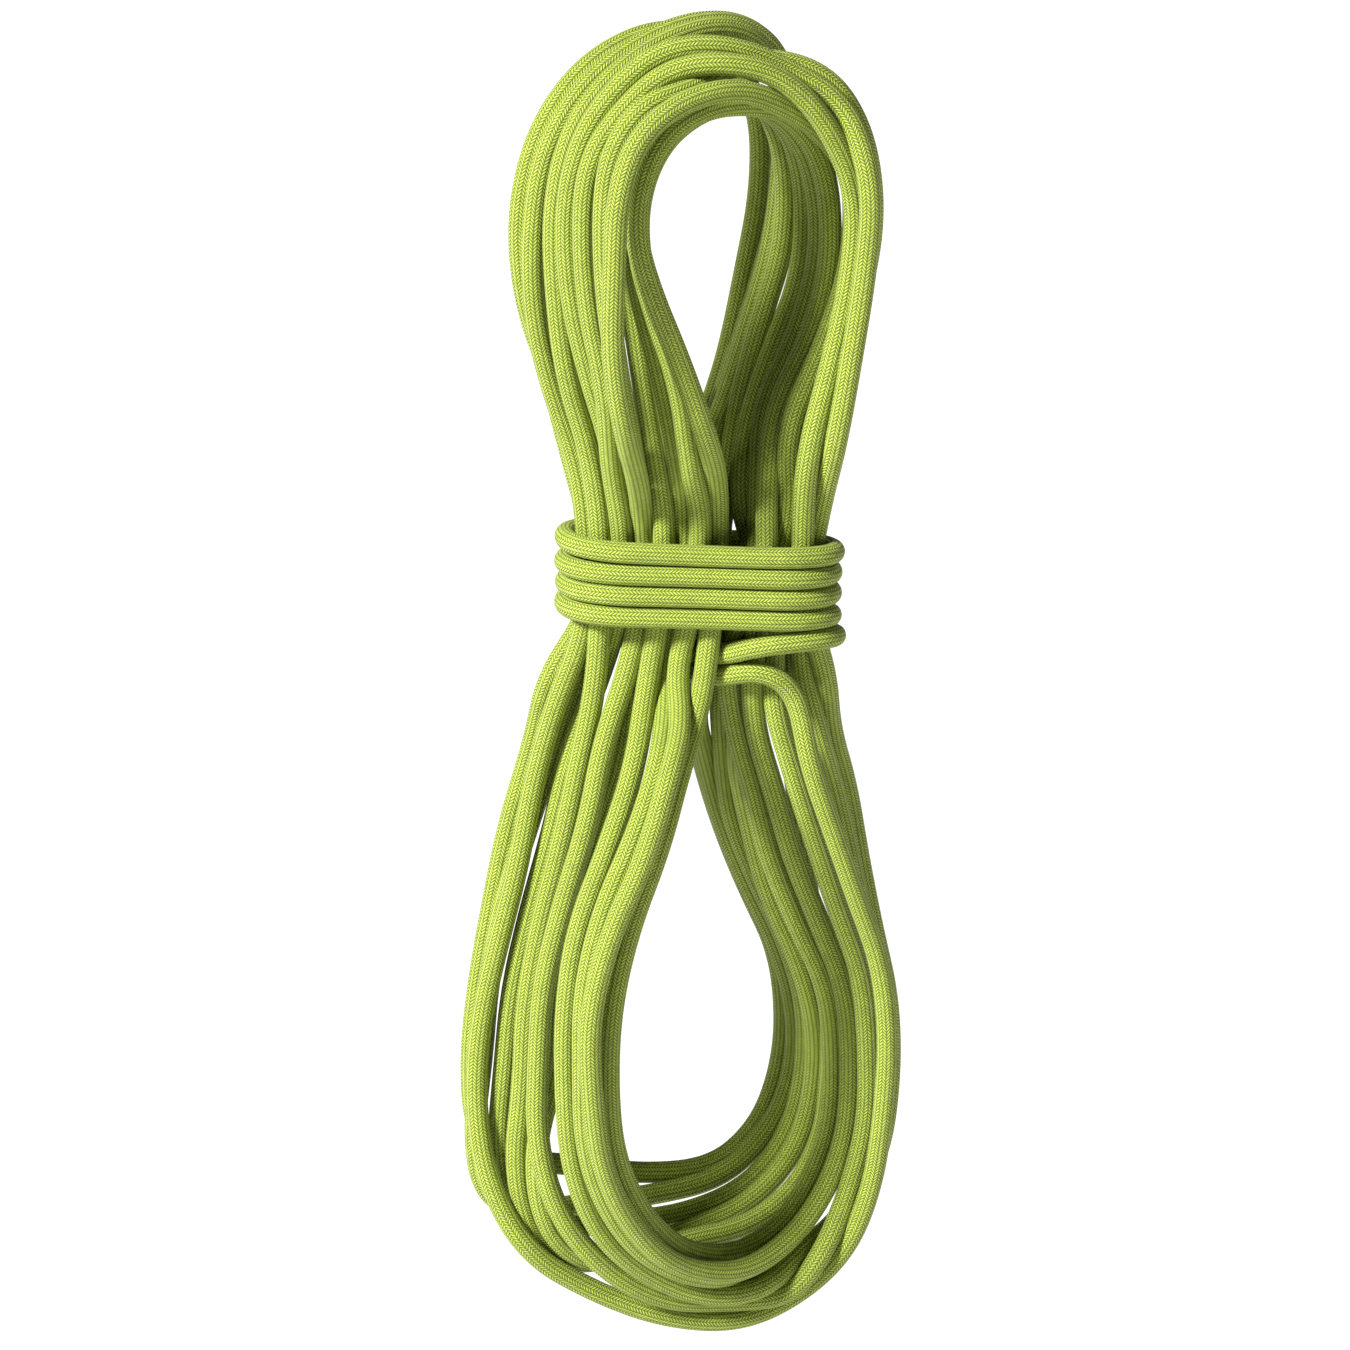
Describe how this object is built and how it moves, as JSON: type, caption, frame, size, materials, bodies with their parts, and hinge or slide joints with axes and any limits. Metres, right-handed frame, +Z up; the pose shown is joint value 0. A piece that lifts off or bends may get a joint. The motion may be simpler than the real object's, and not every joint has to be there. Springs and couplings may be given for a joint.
{
  "type": "dynamic climbing rope",
  "caption": "Kernmantle climbing rope laid in a long hank and whipped at the waist with its own end, leaving an upper and a lower loop.",
  "frame": {"origin": "the point under the top bight of the upper loop where a peg or hook carries the hank", "axes": "+Z up, along the hank; Y through the open loops, along the depth of the coil; X across the hank"},
  "size_m": [0.2066, 0.1149, 0.6228],
  "materials": {
    "sheath": "fine braided polyamide sheath, satin sheen",
    "core": "twisted white filament yarn",
    "thread": "fine coloured thread",
    "sleeve": "satin heat-shrink tube",
    "fused": "melted, smooth and slightly glossy"
  },
  "bodies": {
    "root": {"rope_hank": "sheath", "waist_wraps": "sheath", "lead_in_wraps": "sheath", "sheath_start_tail": "sheath", "sheath_finish_tail": "sheath", "core_strand_01": "core", "core_strand_02": "core", "core_strand_03": "core", "core_strand_04": "core", "core_strand_05": "core", "core_strand_06": "core", "core_strand_07": "core", "core_strand_08": "core", "core_strand_09": "core", "core_strand_10": "core", "core_strand_11": "core", "core_strand_12": "core", "marker_thread": "thread", "end_sleeve_start": "sleeve", "end_sleeve_finish": "sleeve", "fused_tip_start": "fused", "fused_tip_finish": "fused"}
  },
  "joints": []
}
